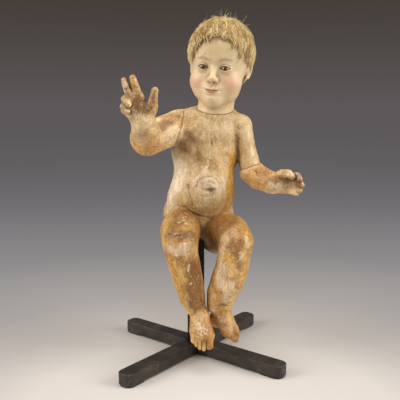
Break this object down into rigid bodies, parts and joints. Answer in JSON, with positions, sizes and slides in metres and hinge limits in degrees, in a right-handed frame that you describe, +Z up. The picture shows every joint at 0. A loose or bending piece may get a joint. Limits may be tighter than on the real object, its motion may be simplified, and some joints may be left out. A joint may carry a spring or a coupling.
{
  "type": "carved child figure on a cross-shaped foot",
  "caption": "Painted wooden figure of a seated child with a raised right hand, held up by a square post on a black cross-shaped foot.",
  "frame": {"origin": "centre of the bounding box in plan, on the ground under the foot pads", "axes": "+Z up, the figure faces -Y, its raised right hand is on the -X side"},
  "size_m": [0.2858, 0.2706, 0.5384],
  "materials": {
    "face_paint": "old satin paint, pale with rosy cheeks, on carved wood",
    "body_paint": "old flesh paint, stained and flaked, on carved wood",
    "worn_paint": "old flesh paint worn to ochre and brown, on carved wood",
    "hair": "short straw-blond fibre, glued and matted",
    "eye_glass": "polished, painted from behind",
    "black_wood": "black-brown satin paint, scratched",
    "felt": "dark felt"
  },
  "bodies": {
    "root": {"head": "face_paint", "hair": "hair", "glass_eye_right": "eye_glass", "glass_eye_left": "eye_glass", "torso": "body_paint", "right_arm": "worn_paint", "left_forearm": "worn_paint", "right_leg": "worn_paint", "left_leg": "worn_paint", "post": "black_wood", "cross_bar_upper": "black_wood", "cross_bar_lower": "black_wood", "foot_pad_front_left": "felt", "foot_pad_back_right": "felt", "foot_pad_back_left": "felt", "foot_pad_front_right": "felt"}
  },
  "joints": []
}
